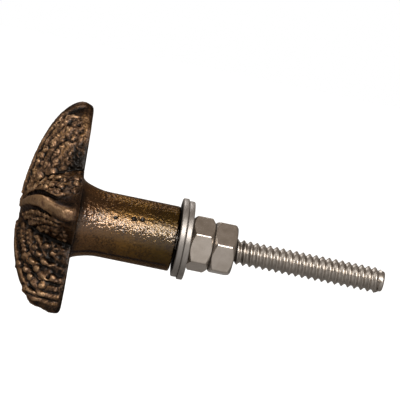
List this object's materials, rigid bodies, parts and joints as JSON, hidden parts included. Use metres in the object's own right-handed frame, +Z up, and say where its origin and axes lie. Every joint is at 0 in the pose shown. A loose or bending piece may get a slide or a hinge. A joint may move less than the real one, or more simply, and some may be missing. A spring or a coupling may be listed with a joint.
{
  "type": "cupboard knob",
  "caption": "Starfish cupboard or drawer knob: antique brass starfish head on a round neck, with a threaded stud, plain washers and hexagon nuts.",
  "frame": {"origin": "point on the stud's axis where the threaded stud leaves the outer nut's outer face", "axes": "+Y along the stud away from the starfish head, +Z up through the middle of the head's straight arm, +X to the side"},
  "size_m": [0.0428, 0.0693, 0.0383],
  "materials": {
    "antique_brass": "dark antique patina, rubbed brighter on the raised relief",
    "nickel_steel": "bright nickel plate, lightly warm"
  },
  "bodies": {
    "root": {"starfish_casting": "antique_brass", "stud": "nickel_steel", "inner_washer": "nickel_steel", "outer_washer": "nickel_steel", "inner_nut": "nickel_steel", "outer_nut": "nickel_steel"}
  },
  "joints": []
}
